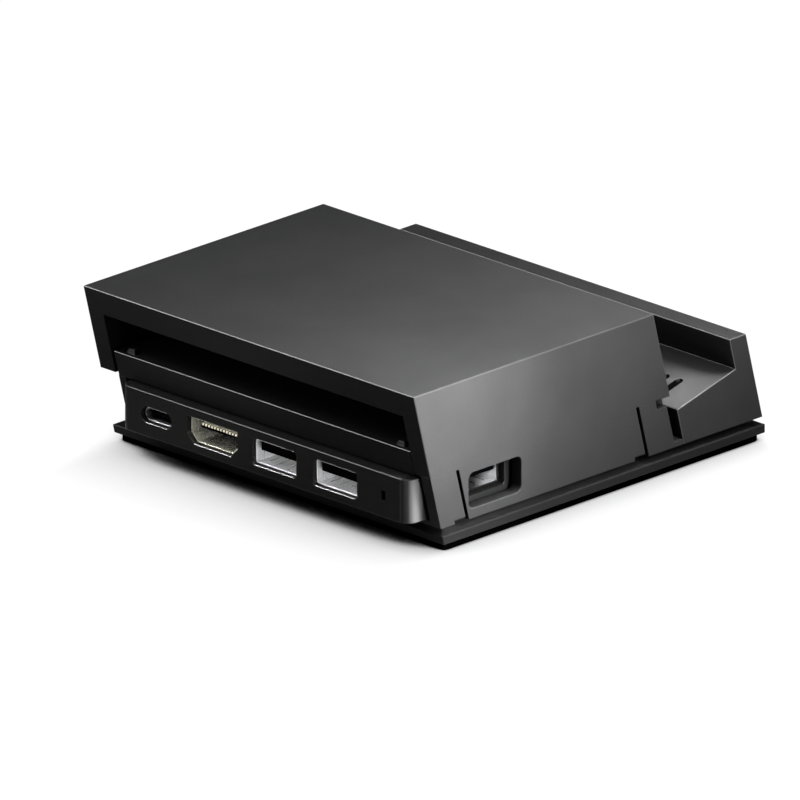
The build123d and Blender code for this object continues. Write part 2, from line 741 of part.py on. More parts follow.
# Small reversible port, used for power at the rear and for the console's lead at the hub's end.
def make_power_port(name, mouth):
    back = mouth.offset(-power_length)
    inner_width = power_width - 2 * power_sheet
    inner_height = power_height - 2 * power_sheet
    with BuildPart() as shell:
        with BuildSketch(mouth):
            SlotOverall(power_width, power_height)
            SlotOverall(inner_width, inner_height, mode=Mode.SUBTRACT)
        extrude(amount=-power_length)
        with BuildSketch(back):
            SlotOverall(inner_width, inner_height)
        extrude(amount=power_sheet)
    shell.part.label = f"{name}_shell"
    export_step(shell.part, f"parts/{name}_shell.step")

    with BuildPart() as tongue:
        with BuildSketch(back.offset(power_sheet)):
            SlotOverall(inner_width - 2 * insert_fit, inner_height - 2 * insert_fit)
        extrude(amount=power_insert_depth)
        with BuildSketch(back.offset(power_sheet + power_insert_depth)):
            Rectangle(power_tongue[0], power_tongue[1])
        extrude(amount=power_tongue[2])
    tongue.part.label = f"{name}_tongue"
    export_step(tongue.part, f"parts/{name}_tongue.step")


make_power_port("power_port", power_port.offset(-port_recess))
make_power_port("host_port", host_port.offset(-port_recess))

# Video port: D-shaped shell with wings, tongue and a comb of contacts above and below it.
video_mouth = video_port.offset(-port_recess)
video_back = video_mouth.offset(-video_length)
with BuildPart() as video_shell:
    with BuildSketch(video_mouth):
        Polygon(*video_outline(0), align=None)
        Polygon(*video_outline(-sheet), align=None, mode=Mode.SUBTRACT)
    extrude(amount=-video_length)
    with BuildSketch(video_back):
        Polygon(*video_outline(-sheet), align=None)
    extrude(amount=sheet)
    with BuildSketch(video_mouth.offset(-wing_setback)):
        with Locations((0, board_top - port_z + sheet / 2)):
            Rectangle(video_width + 2 * wing[0], sheet)
        Polygon(*video_outline(-sheet), align=None, mode=Mode.SUBTRACT)
    extrude(amount=-wing[1])
    extrude(spring_slots(video_mouth, video_height), amount=2 * sheet, both=True, mode=Mode.SUBTRACT)
video_shell.part.label = "video_port_shell"
export_step(video_shell.part, "parts/video_port_shell.step")

video_root = video_back.offset(sheet + insert_depth)
with BuildPart() as video_insert:
    with BuildSketch(video_back.offset(sheet)):
        Polygon(*video_outline(-sheet - insert_fit), align=None)
    extrude(amount=insert_depth)
    with BuildSketch(video_root):
        with Locations((0, video_tongue_rise)):
            Rectangle(video_tongue[0], video_tongue[1])
    extrude(amount=video_tongue[2])
video_insert.part.label = "video_port_tongue"
export_step(video_insert.part, "parts/video_port_tongue.step")

with BuildPart() as video_comb:
    with BuildSketch(video_root):
        with Locations((0, video_tongue_rise + (video_tongue[1] + video_upper_contact[1]) / 2)):
            with GridLocations(video_contact_pitch, 0, video_contacts, 1):
                Rectangle(video_upper_contact[0], video_upper_contact[1])
    extrude(amount=video_upper_contact[2])
    with BuildSketch(video_root):
        with Locations((0, video_tongue_rise - (video_tongue[1] + video_lower_contact[1]) / 2)):
            with GridLocations(video_contact_pitch, 0, video_contacts - 1, 1):
                Rectangle(video_lower_contact[0], video_lower_contact[1])
    extrude(amount=video_lower_contact[2])
video_comb.part.label = "video_port_contacts"
export_step(video_comb.part, "parts/video_port_contacts.step")

# Status light: lamp on the board under the inner end of a bent light pipe.
light_x = light_port.origin.X
led_y = hub_rear_y - light_pipe_length
led_top = port_z - light_size[1] / 2 - led_gap
with BuildPart() as status_led:
    with BuildSketch(Plane.XY.offset(board_top)):
        with Locations((light_x, led_y)):
            Rectangle(led_size[0], led_size[1])
    extrude(amount=led_top - board_top)
status_led.part.label = "status_led"
export_step(status_led.part, "parts/status_led.step")

with BuildPart() as light_pipe:
    with BuildSketch(light_port.offset(-light_setback)):
        Rectangle(light_size[0], light_size[1])
    extrude(amount=-(light_pipe_length + light_size[1] / 2 - light_setback))
    with BuildSketch(Plane.XY.offset(led_top)):
        with Locations((light_x, led_y)):
            Rectangle(light_size[0], light_size[1])
    extrude(amount=port_z - led_top)
light_pipe.part.label = "light_pipe"
export_step(light_pipe.part, "parts/light_pipe.step")

# Parts soldered on the board.
for name, place, size in (
    ("hub_chip", hub_chip_place, hub_chip_size),
    ("video_chip", video_chip_place, video_chip_size),
    ("power_chip", (hub_width / 2 - power_chip_place[0], power_chip_place[1]), power_chip_size),
    ("power_inductor", (hub_width / 2 - inductor_place[0], inductor_place[1]), inductor_size),
):
    with BuildPart() as chip:
        with BuildSketch(Plane.XY.offset(board_top)):
            with Locations((hub_x + place[0], hub_y + place[1])):
                Rectangle(size[0], size[1])
        extrude(amount=size[2])
        chamfer(chip.edges().filter_by(Axis.Z), min(chip_round, size[0] / 4))
    chip.part.label = name
    export_step(chip.part, f"parts/{name}.step")

with BuildPart() as board_capacitors:
    with BuildSketch(Plane.XY.offset(board_top)):
        with Locations((hub_x + capacitor_place[0], hub_y + capacitor_place[1])):
            with GridLocations(0, capacitor_pitch, 1, capacitor_count):
                Circle(capacitor_diameter / 2)
    extrude(amount=capacitor_height)
board_capacitors.part.label = "board_capacitors"
export_step(board_capacitors.part, "parts/board_capacitors.step")
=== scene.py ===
import json
import math

import bpy
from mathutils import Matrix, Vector

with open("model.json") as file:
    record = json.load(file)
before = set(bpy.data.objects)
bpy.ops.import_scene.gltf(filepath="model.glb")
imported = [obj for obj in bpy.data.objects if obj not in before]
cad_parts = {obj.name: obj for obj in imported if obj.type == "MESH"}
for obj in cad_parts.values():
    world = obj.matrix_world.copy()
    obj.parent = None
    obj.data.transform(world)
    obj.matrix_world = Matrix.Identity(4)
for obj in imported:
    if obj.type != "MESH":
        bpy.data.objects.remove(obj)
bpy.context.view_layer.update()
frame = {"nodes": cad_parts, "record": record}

nodes = frame["nodes"]
mm = 0.001
print("frame loaded:", len(nodes), "nodes")


# Node helpers: an input takes a plain value or another node's output socket.
def put(tree, kind, inputs=None, **options):
    node = tree.nodes.new(kind)
    for key, value in options.items():
        setattr(node, key, value)
    for key, value in (inputs or {}).items():
        if isinstance(value, bpy.types.NodeSocket):
            tree.links.new(value, node.inputs[key])
        else:
            node.inputs[key].default_value = value
    return node


def calc(tree, operation, a, b=0.0, clamp=False):
    return put(tree, "ShaderNodeMath", {0: a, 1: b}, operation=operation, use_clamp=clamp).outputs[0]


def remap(tree, value, fromLow, fromHigh, toLow=0.0, toHigh=1.0, slope="LINEAR"):
    sockets = {"Value": value, "From Min": fromLow, "From Max": fromHigh, "To Min": toLow, "To Max": toHigh}
    return put(tree, "ShaderNodeMapRange", sockets, interpolation_type=slope).outputs["Result"]


def tint(tree, factor, low, high):
    return put(tree, "ShaderNodeMix", {0: factor, 6: low, 7: high}, data_type="RGBA").outputs[2]


def grey(level):
    return (level, level, level, 1.0)


def onPiece(tree):
    return put(tree, "ShaderNodeTexCoord").outputs["Object"]


# Where a point lies on its piece, and which way its face looks, each as X, Y and Z.
def spot(tree):
    return put(tree, "ShaderNodeSeparateXYZ", {0: onPiece(tree)}).outputs


def facing(tree):
    normal = put(tree, "ShaderNodeNewGeometry").outputs["Normal"]
    return put(tree, "ShaderNodeSeparateXYZ", {0: normal}).outputs


# 1 between two places along an axis of the piece, 0 elsewhere.
def within(tree, axis, low, high):
    along = spot(tree)[axis]
    above = calc(tree, "GREATER_THAN", along, low)
    return calc(tree, "MULTIPLY", above, calc(tree, "LESS_THAN", along, high))


# X and Y together, which grow from the window side round to the rear.
def diagonal(tree):
    where = spot(tree)
    return calc(tree, "ADD", where["X"], where["Y"])


def newGroup(name, inputs, outputs):
    tree = bpy.data.node_groups.new(name, "ShaderNodeTree")
    for label in inputs:
        tree.interface.new_socket(label, in_out="INPUT", socket_type="NodeSocketFloat")
    for label in outputs:
        kind = "NodeSocketVector" if label == "normal" else "NodeSocketFloat"
        tree.interface.new_socket(label, in_out="OUTPUT", socket_type=kind)
    entry = tree.nodes.new("NodeGroupInput").outputs
    leave = tree.nodes.new("NodeGroupOutput").inputs
    return tree, entry, leave


def place(tree, group, **values):
    node = tree.nodes.new("ShaderNodeGroup")
    node.node_tree = group
    for key, value in values.items():
        node.inputs[key].default_value = value
    return node.outputs


# Spark-eroded mould grain: small pits, with slow mottling over them.
grainPlan = {"fineDetail": 3.0, "slowDetail": 4.0, "mottle": (0.35, 0.65)}


def makeMouldGrain():
    tree, entry, leave = newGroup("mouldGrain", ("grains", "mottles"), ("height", "mottle"))
    where = onPiece(tree)
    pits = put(tree, "ShaderNodeTexVoronoi", {"Vector": where, "Scale": entry["grains"]})
    fine = put(tree, "ShaderNodeTexNoise", {"Vector": where, "Scale": entry["grains"],
                                            "Detail": grainPlan["fineDetail"]})
    slow = put(tree, "ShaderNodeTexNoise", {"Vector": where, "Scale": entry["mottles"],
                                            "Detail": grainPlan["slowDetail"]})
    tree.links.new(calc(tree, "ADD", pits.outputs["Distance"], fine.outputs["Fac"]), leave["height"])
    tree.links.new(remap(tree, slow.outputs["Fac"], *grainPlan["mottle"]), leave["mottle"])
    return tree


# Edges: the softened normal, and masks of sharp edges, moulded rounds, sills that look up and back, and the
# edges of the window-side end that look up or back.
acrossAxis, backAxis, upAxis = (1.0, 0.0, 0.0), (0.0, 1.0, 0.0), (0.0, 0.0, 1.0)
edgePlan = {
    "samples": 6,
    "faceAxes": (acrossAxis, backAxis, upAxis, (0.0, 0.968, -0.25), (0.0, 0.25, 0.968)),  # square and leaning
    "round": (0.985, 0.93),  # along the nearest face axis: flat, and fully round
    "tilt": (0.1, 0.4),  # along up or back: not at all, and fully
    "end": (-0.2, -0.5),  # along across, towards the window side: not at all, and fully
}


def makeEdgeTurn():
    tree, entry, leave = newGroup(
        "edgeTurn", ("radius", "sharpness"), ("normal", "edge", "round", "sill", "endEdge")
    )
    bevel = put(tree, "ShaderNodeBevel", {"Radius": entry["radius"]}, samples=edgePlan["samples"]).outputs[0]
    flat = put(tree, "ShaderNodeNewGeometry").outputs["Normal"]

    def along(vector, axis):
        dot = put(tree, "ShaderNodeVectorMath", {0: vector, 1: axis}, operation="DOT_PRODUCT")
        return dot.outputs["Value"]

    turned = calc(tree, "SUBTRACT", 1.0, along(bevel, flat))
    edge = calc(tree, "MULTIPLY", turned, entry["sharpness"], clamp=True)
    nearest = 0.0
    for axis in edgePlan["faceAxes"]:
        nearest = calc(tree, "MAXIMUM", calc(tree, "ABSOLUTE", along(flat, axis)), nearest)
    moulded = remap(tree, nearest, *edgePlan["round"])
    up = remap(tree, along(bevel, upAxis), *edgePlan["tilt"])
    back = remap(tree, along(bevel, backAxis), *edgePlan["tilt"])
    end = remap(tree, along(bevel, acrossAxis), *edgePlan["end"])
    inner = calc(tree, "MULTIPLY", calc(tree, "MAXIMUM", up, back), end)
    tree.links.new(bevel, leave["normal"])
    tree.links.new(edge, leave["edge"])
    tree.links.new(moulded, leave["round"])
    tree.links.new(calc(tree, "MULTIPLY", edge, calc(tree, "MULTIPLY", up, back)), leave["sill"])
    tree.links.new(calc(tree, "MULTIPLY", calc(tree, "MAXIMUM", edge, moulded), inner), leave["endEdge"])
    return tree


# Faint marks of handling: broad soft patches broken up by finer ones.
markPlan = {"detail": 6.0, "roughness": 0.6, "distortion": 0.8, "contrast": 4.0}


def makeHandMarks():
    tree, entry, leave = newGroup("handMarks", ("patches", "cover"), ("mark",))
    broad = put(tree, "ShaderNodeTexNoise", {"Vector": onPiece(tree), "Scale": entry["patches"],
                                             "Detail": markPlan["detail"], "Roughness": markPlan["roughness"],
                                             "Distortion": markPlan["distortion"]})
    level = calc(tree, "SUBTRACT", 1.0, entry["cover"])
    above = calc(tree, "SUBTRACT", broad.outputs["Fac"], level)
    tree.links.new(calc(tree, "MULTIPLY", above, markPlan["contrast"], clamp=True), leave["mark"])
    return tree


# Painted shade in crevices: a mask that is 1 on open faces, falling to 0 deep in slits and slots, or, for a
# hollow, in a piece's own corners.
creviceSamples = 4
hollowSamples = 32


def makeShadeMask(name, ownOnly, samples):
    tree, entry, leave = newGroup(name, ("reach", "low", "high"), ("open",))
    sky = put(tree, "ShaderNodeAmbientOcclusion", {"Distance": entry["reach"]}, samples=samples,
              only_local=ownOnly).outputs["AO"]
    tree.links.new(remap(tree, sky, entry["low"], entry["high"]), leave["open"])
    return tree


# Drawing lines of rolled sheet metal, along the row frame's Z, with stains.
drawnPlan = {"lineDetail": 2.0, "stains": 400.0, "stainDetail": 3.0, "streak": (0.12, 0.4)}


def makeDrawnLines():
    tree, entry, leave = newGroup("drawnLines", ("lines", "stretch"), ("height", "streak"))
    where = onPiece(tree)
    squash = put(tree, "ShaderNodeCombineXYZ", {"X": 1.0, "Y": 1.0, "Z": entry["stretch"]}).outputs[0]
    drawn = put(tree, "ShaderNodeVectorMath", {0: where, 1: squash}, operation="MULTIPLY").outputs[0]
    lines = put(tree, "ShaderNodeTexNoise", {"Vector": drawn, "Scale": entry["lines"],
                                             "Detail": drawnPlan["lineDetail"]}).outputs["Fac"]
    stains = put(tree, "ShaderNodeTexNoise", {"Vector": where, "Scale": drawnPlan["stains"],
                                              "Detail": drawnPlan["stainDetail"]}).outputs["Fac"]
    mixed = calc(tree, "MULTIPLY", lines, stains)
    tree.links.new(lines, leave["height"])
    tree.links.new(remap(tree, mixed, *drawnPlan["streak"]), leave["streak"])
    return tree


mouldGrain = makeMouldGrain()
edgeTurn = makeEdgeTurn()
handMarks = makeHandMarks()
paintedShade = makeShadeMask("paintedShade", False, creviceSamples)
hollow = makeShadeMask("hollow", True, hollowSamples)
drawnLines = makeDrawnLines()
print("node groups made")


def newMaterial(name):
    material = bpy.data.materials.new(name)
    material.use_nodes = True
    tree = material.node_tree
    tree.nodes.clear()
    shader = tree.nodes.new("ShaderNodeBsdfPrincipled")
    out = tree.nodes.new("ShaderNodeOutputMaterial")
    tree.links.new(shader.outputs[0], out.inputs["Surface"])
    return material, tree, shader


def openGap(tree, look):
    gap = place(tree, paintedShade, reach=look["creviceReach"], low=look["creviceLow"], high=look["creviceHigh"])
    return gap["open"]


def addBump(tree, shader, look, height, normal=None):
    inputs = {"Strength": look["bump"], "Distance": look["bumpDepth"], "Height": height}
    if normal is not None:
        inputs["Normal"] = normal
    tree.links.new(put(tree, "ShaderNodeBump", inputs).outputs[0], shader.inputs["Normal"])


# The trough's own shade, with one setting for its walls and one for its floor.
def shadeHollow(tree, plan):
    wall = place(tree, hollow, **plan["wall"])["open"]
    floor = place(tree, hollow, **plan["floor"])["open"]
    level = calc(tree, "GREATER_THAN", facing(tree)["Z"], plan["levelFrom"])
    return put(tree, "ShaderNodeMix", {0: level, 2: wall, 3: floor}).outputs[0]


# The hub's rounded end: painted shade, with a painted highlight where it turns to the window side.
def shineCorner(tree, plan, colour):
    sideways = remap(tree, facing(tree)["X"], *plan["turn"])
    outward = remap(tree, spot(tree)["Y"], *plan["fade"])
    shine = tint(tree, calc(tree, "MULTIPLY", sideways, outward), plan["dark"], plan["light"])
    return tint(tree, within(tree, "X", *plan["band"]), colour, shine)


# Moulded plastic: grain in the bump, mottled colour, edges lighter as wear and as a painted highlight,
# painted shade in crevices.
def makePlastic(name, look):
    material, tree, shader = newMaterial(name)
    grain = place(tree, mouldGrain, grains=look["grains"], mottles=look["mottles"])
    turn = place(tree, edgeTurn, radius=look["edgeRadius"], sharpness=look["edgeSharpness"])
    marks = place(tree, handMarks, patches=look["patches"], cover=look["cover"])
    gap = openGap(tree, look)
    body = tint(tree, grain["mottle"], look["dark"], look["light"])
    # Painted light: on the window side the face is lighter than elsewhere.
    if "litWindowSide" in look:
        windowSide = calc(tree, "LESS_THAN", diagonal(tree), look["litWindowSide"]["until"])
        body = tint(tree, windowSide, body, look["litWindowSide"]["thin"])
    # Edges and moulded rounds lighter in colour: partly edge wear, partly a painted highlight.
    edgeWearAndHighlight = calc(tree, "MAXIMUM", turn["edge"], turn["round"])
    wearAndHighlight = tint(tree, calc(tree, "MULTIPLY", edgeWearAndHighlight, look["edgeLift"]), body, look["edgeColour"])
    unshaded = gap
    # In the trough, painted shade in the walls' and floor's own corners as well.
    if "hollow" in look:
        unshaded = calc(tree, "MINIMUM", gap, shadeHollow(tree, look["hollow"]))
    # Painted shade: the colour falls to a dark shade colour in crevices and gaps.
    colour = tint(tree, unshaded, look["paintedShade"], wearAndHighlight)
    # Painted light: on the window side the gaps are lighter still.
    if "litWindowSide" in look:
        litGapMask = calc(tree, "MULTIPLY", windowSide, calc(tree, "SUBTRACT", 1.0, gap))
        colour = tint(tree, litGapMask, colour, look["litWindowSide"]["thick"])
    # Painted highlight on the edges of the window-side end that look up or back.
    if "endEdge" in look:
        colour = tint(tree, calc(tree, "MULTIPLY", turn["endEdge"], gap), colour, look["endEdge"])
    # Painted shade and painted highlight on the hub's rounded end.
    if "corner" in look:
        colour = shineCorner(tree, look["corner"], colour)
    # Painted highlight along the sills under the port openings, made lighter and metallic.
    if "sill" in look:
        sill = calc(tree, "MULTIPLY", turn["sill"], within(tree, "Z", *look["sill"]["band"]))
        sill = calc(tree, "MULTIPLY", sill, look["sill"]["shine"])
        colour = tint(tree, sill, colour, look["sill"]["colour"])
        tree.links.new(sill, shader.inputs["Metallic"])
    tree.links.new(colour, shader.inputs["Base Color"])
    if look["roundCoat"] > 0.0:
        polished = calc(tree, "MULTIPLY", calc(tree, "MULTIPLY", turn["round"], unshaded), look["roundCoat"])
        tree.links.new(polished, shader.inputs["Coat Weight"])
        shader.inputs["Coat Roughness"].default_value = look["coatRoughness"]
    handled = remap(tree, marks["mark"], 0.0, 1.0, look["roughness"], look["roughness"] - look["polish"])
    smoother = calc(tree, "MULTIPLY", turn["edge"], look["edgePolish"])
    tree.links.new(calc(tree, "SUBTRACT", handled, smoother), shader.inputs["Roughness"])
    addBump(tree, shader, look, grain["height"], turn["normal"])
    shader.inputs["Specular IOR Level"].default_value = look["specular"]
    return material


bodyLook = {
    "dark": (0.056, 0.056, 0.057, 1.0),
    "light": (0.064, 0.064, 0.065, 1.0),
    "edgeColour": grey(0.16),
    "edgeLift": 0.08,
    "edgePolish": 0.34,
    "edgeRadius": 0.25 * mm,
    "edgeSharpness": 8.0,
    "paintedShade": grey(0.008),
    "creviceReach": 10.0 * mm,
    "creviceLow": 0.12,
    "creviceHigh": 0.45,
    "roundCoat": 0.25,
    "coatRoughness": 0.25,
    "grains": 3000.0,
    "mottles": 60.0,
    "patches": 35.0,
    "cover": 0.5,
    "roughness": 0.56,
    "polish": 0.02,
    "bump": 0.35,
    "bumpDepth": 0.05 * mm,
    "specular": 0.05,
}
# The plate is near black as painted shade, and lighter on the window side and in its gap there as painted
# light.
plateLook = {**bodyLook, "dark": grey(0.006), "light": grey(0.008), "roundCoat": 0.0,
             "litWindowSide": {"until": -4.8 * mm, "thin": grey(0.022), "thick": grey(0.075)}}
panelLook = {**bodyLook, "creviceLow": 0.42, "creviceHigh": 0.75}
housingLook = {**bodyLook, "creviceLow": 0.3, "creviceHigh": 0.62}
# The cradle carries a painted highlight on its end's edges and painted shade in its trough.
cradleLook = {**housingLook, "endEdge": grey(0.2), "roundCoat": 0.14, "paintedShade": grey(0.005),
              "hollow": {"levelFrom": 0.7,  # faces that look up more than this are floor
                         "wall": {"reach": 40.0 * mm, "low": 0.58, "high": 0.95},
                         "floor": {"reach": 40.0 * mm, "low": 0.75, "high": 0.86}}}
hubLook = {**bodyLook, "dark": grey(0.09), "light": grey(0.1), "grains": 4200.0, "roughness": 0.5,
           "bump": 0.22, "roundCoat": 0.1, "edgeRadius": 0.1 * mm,
           # painted shade and painted highlight on the rounded end
           "corner": {"band": (-60.0 * mm, -44.8 * mm), "fade": (47.8 * mm, 49.5 * mm),
                      "turn": (-0.7, -0.98), "dark": grey(0.02), "light": grey(0.14)},
           # painted highlight along the port openings' sills
           "sill": {"band": (8.4 * mm, 11.0 * mm), "shine": 0.8, "colour": grey(0.32)}}
tongueLook = {**bodyLook, "dark": grey(0.001), "light": grey(0.0015), "paintedShade": grey(0.0005),
              "edgeLift": 0.0, "roughness": 0.6, "bump": 0.15, "edgeRadius": 0.08 * mm, "roundCoat": 0.0,
              "specular": 0.01}
chipLook = {**bodyLook, "dark": grey(0.014), "light": grey(0.02), "edgeLift": 0.2, "roughness": 0.6}
ferriteLook = {**bodyLook, "dark": grey(0.1), "light": grey(0.13), "edgeLift": 0.2, "roughness": 0.7,
               "bump": 0.5}
# Black rubber, made darker still as painted shade under the plate.
rubberLook = {**bodyLook, "dark": grey(0.0008), "light": grey(0.0015), "edgeLift": 0.02, "roughness": 0.9,
              "polish": 0.05, "grains": 2200.0, "bump": 0.5, "paintedShade": grey(0.0005), "roundCoat": 0.0,
              "specular": 0.0}
plasticLooks = {
    "bodyPlastic": bodyLook,
    "panelPlastic": panelLook,
    "housingPlastic": housingLook,
    "cradlePlastic": cradleLook,
    "platePlastic": plateLook,
    "hubPlastic": hubLook,
    "tonguePlastic": tongueLook,
    "chipBlack": chipLook,
    "ferriteGrey": ferriteLook,
    "matRubber": rubberLook,
}
plastics = {name: makePlastic(name, look) for name, look in plasticLooks.items()}
print("plastics made")


# Plated sheet metal: drawing lines, slightly stained, brighter at its cut edges, with painted shade in its
# crevices.
def makeMetal(name, look):
    material, tree, shader = newMaterial(name)
    lines = place(tree, drawnLines, lines=look["lines"], stretch=look["stretch"])
    turn = place(tree, edgeTurn, radius=look["edgeRadius"], sharpness=look["edgeSharpness"])
    plate = tint(tree, lines["streak"], look["dark"], look["light"])
    bare = tint(tree, calc(tree, "MULTIPLY", turn["edge"], look["edgeLift"]), plate, look["edgeColour"])
    # Painted shadow: the shell darker beyond a line of X and Y together, where the window's rear edge shades
    # it.
    if "paintedShadow" in look:
        shadowed = remap(tree, diagonal(tree), *look["paintedShadow"])
        bare = tint(tree, shadowed, bare, look["paintedShadowColour"])
    # Painted dark reflection on the rim at the shell's mouth.
    if "rim" in look:
        bare = tint(tree, within(tree, "X", *look["rim"]), bare, look["paintedShade"])
    # Painted shade: the colour falls to a dark shade colour in crevices and deep inside.
    tree.links.new(tint(tree, openGap(tree, look), look["paintedShade"], bare), shader.inputs["Base Color"])
    rough = remap(tree, lines["streak"], 0.0, 1.0, look["roughness"] + look["stain"], look["roughness"])
    tree.links.new(rough, shader.inputs["Roughness"])
    addBump(tree, shader, look, lines["height"], turn["normal"])
    shader.inputs["Metallic"].default_value = look["metal"]
    return material


steelLook = {
    "dark": (0.66, 0.67, 0.68, 1.0),
    "light": (0.8, 0.81, 0.82, 1.0),
    "edgeColour": (0.92, 0.92, 0.93, 1.0),
    "edgeLift": 0.15,
    "edgeRadius": 0.06 * mm,
    "edgeSharpness": 4.0,
    "paintedShade": grey(0.04),
    "creviceReach": 3.0 * mm,
    "creviceLow": 0.25,
    "creviceHigh": 0.75,
    "lines": 2600.0,
    "stretch": 0.05,
    "metal": 0.6,
    "roughness": 0.26,
    "stain": 0.1,
    "bump": 0.15,
    "bumpDepth": 0.02 * mm,
}
powerLook = {**steelLook, "creviceReach": 2.5 * mm, "creviceLow": 0.3}
# The side shell has a painted dark reflection on its rim and a painted shadow on its rear part.
sideLook = {**steelLook, "rim": (-60.0 * mm, -45.1 * mm), "paintedShade": grey(0.02),
            "paintedShadow": (-17.8 * mm, -14.8 * mm), "paintedShadowColour": grey(0.12)}
videoLook = {**steelLook, "dark": (0.52, 0.52, 0.42, 1.0), "light": (0.8, 0.79, 0.65, 1.0),
             "edgeColour": (0.9, 0.88, 0.76, 1.0), "metal": 0.75, "roughness": 0.22,
             "creviceReach": 5.0 * mm, "creviceLow": 0.3, "creviceHigh": 0.85}
goldLook = {**steelLook, "dark": (0.7, 0.65, 0.48, 1.0), "light": (0.84, 0.8, 0.64, 1.0),
            "creviceReach": 0.6 * mm, "creviceLow": 0.5, "creviceHigh": 0.85}
canLook = {**steelLook, "roughness": 0.35, "lines": 1500.0}
zincLook = {**steelLook, "dark": (0.22, 0.22, 0.23, 1.0), "light": (0.32, 0.32, 0.33, 1.0), "roughness": 0.4}
metalLooks = {
    "portSteel": steelLook,
    "powerSteel": powerLook,
    "sideSteel": sideLook,
    "videoSteel": videoLook,
    "contactGold": goldLook,
    "canAluminium": canLook,
    "screwSteel": zincLook,
}
metals = {name: makeMetal(name, look) for name, look in metalLooks.items()}
print("metals made")


# Solder mask with faint copper tracks under it.
def makeBoard(name, look):
    material, tree, shader = newMaterial(name)
    tracks = put(tree, "ShaderNodeTexBrick", {"Vector": onPiece(tree), "Scale": look["tracks"],
                                              "Mortar Size": look["trackWidth"], "Color1": look["mask"],
                                              "Color2": look["mask"], "Mortar": look["copper"]})
    grain = place(tree, mouldGrain, grains=look["grains"], mottles=look["mottles"])
    mask = tint(tree, grain["mottle"], tracks.outputs["Color"], look["mask"])
    tree.links.new(mask, shader.inputs["Base Color"])
    tree.links.new(remap(tree, grain["mottle"], 0.0, 1.0, *look["roughness"]), shader.inputs["Roughness"])
    addBump(tree, shader, look, grain["height"])
    return material


boardLook = {
    "mask": (0.015, 0.09, 0.04, 1.0),
    "copper": (0.03, 0.15, 0.07, 1.0),
    "tracks": 160.0,
    "trackWidth": 0.06,
    "grains": 900.0,
    "mottles": 120.0,
    "roughness": (0.3, 0.42),
    "bump": 0.1,
    "bumpDepth": 0.05 * mm,
}
boardGreen = makeBoard("boardGreen", boardLook)


# Light pipe and lamp: smoky plastic, dark while the light is off, and a white lens behind it.
def makePipe(name, look):
    material, tree, shader = newMaterial(name)
    grain = place(tree, mouldGrain, grains=look["grains"], mottles=look["mottles"])
    tree.links.new(tint(tree, grain["mottle"], look["dark"], look["light"]), shader.inputs["Base Color"])
    tree.links.new(remap(tree, grain["mottle"], 0.0, 1.0, *look["roughness"]), shader.inputs["Roughness"])
    addBump(tree, shader, look, grain["height"])
    shader.inputs["Specular IOR Level"].default_value = look["specular"]
    return material


pipeLook = {
    "dark": grey(0.0008),
    "light": grey(0.0012),
    "specular": 0.01,
    "grains": 2500.0,
    "mottles": 300.0,
    "roughness": (0.4, 0.5),
    "bump": 0.08,
    "bumpDepth": 0.02 * mm,
}
lampLook = {**pipeLook, "dark": grey(0.5), "light": grey(0.62), "specular": 0.4}
pipeSmoke = makePipe("pipeSmoke", pipeLook)
lampWhite = makePipe("lampWhite", lampLook)
print("board and light made")

finishes = {
    "body_plastic": plastics["bodyPlastic"],
    "plate_plastic": plastics["platePlastic"],
    "hub_plastic": plastics["hubPlastic"],
    "mat_rubber": plastics["matRubber"],
    "tongue_plastic": plastics["tonguePlastic"],
    "chip_black": plastics["chipBlack"],
    "inductor_grey": plastics["ferriteGrey"],
    "port_steel": metals["portSteel"],
    "video_steel": metals["videoSteel"],
    "contact_gold": metals["contactGold"],
    "can_aluminium": metals["canAluminium"],
    "screw_steel": metals["screwSteel"],
    "board_green": boardGreen,
    "light_clear": pipeSmoke,
}
# Pieces whose finish differs from that of their slot.
ownFinishes = {
    "status_led": lampWhite,
    "lower_housing": plastics["housingPlastic"],
    "cradle": plastics["cradlePlastic"],
    "side_panel": plastics["panelPlastic"],
    "power_port_shell": metals["powerSteel"],
    "host_port_shell": metals["powerSteel"],
    "side_data_shell": metals["sideSteel"],
}
for part in frame["record"]["subparts"]:
    slots = nodes[part["node"]].data.materials
    slots.clear()
    slots.append(ownFinishes.get(part["node"], finishes[part["material_slot"]]))
print("finishes assigned")


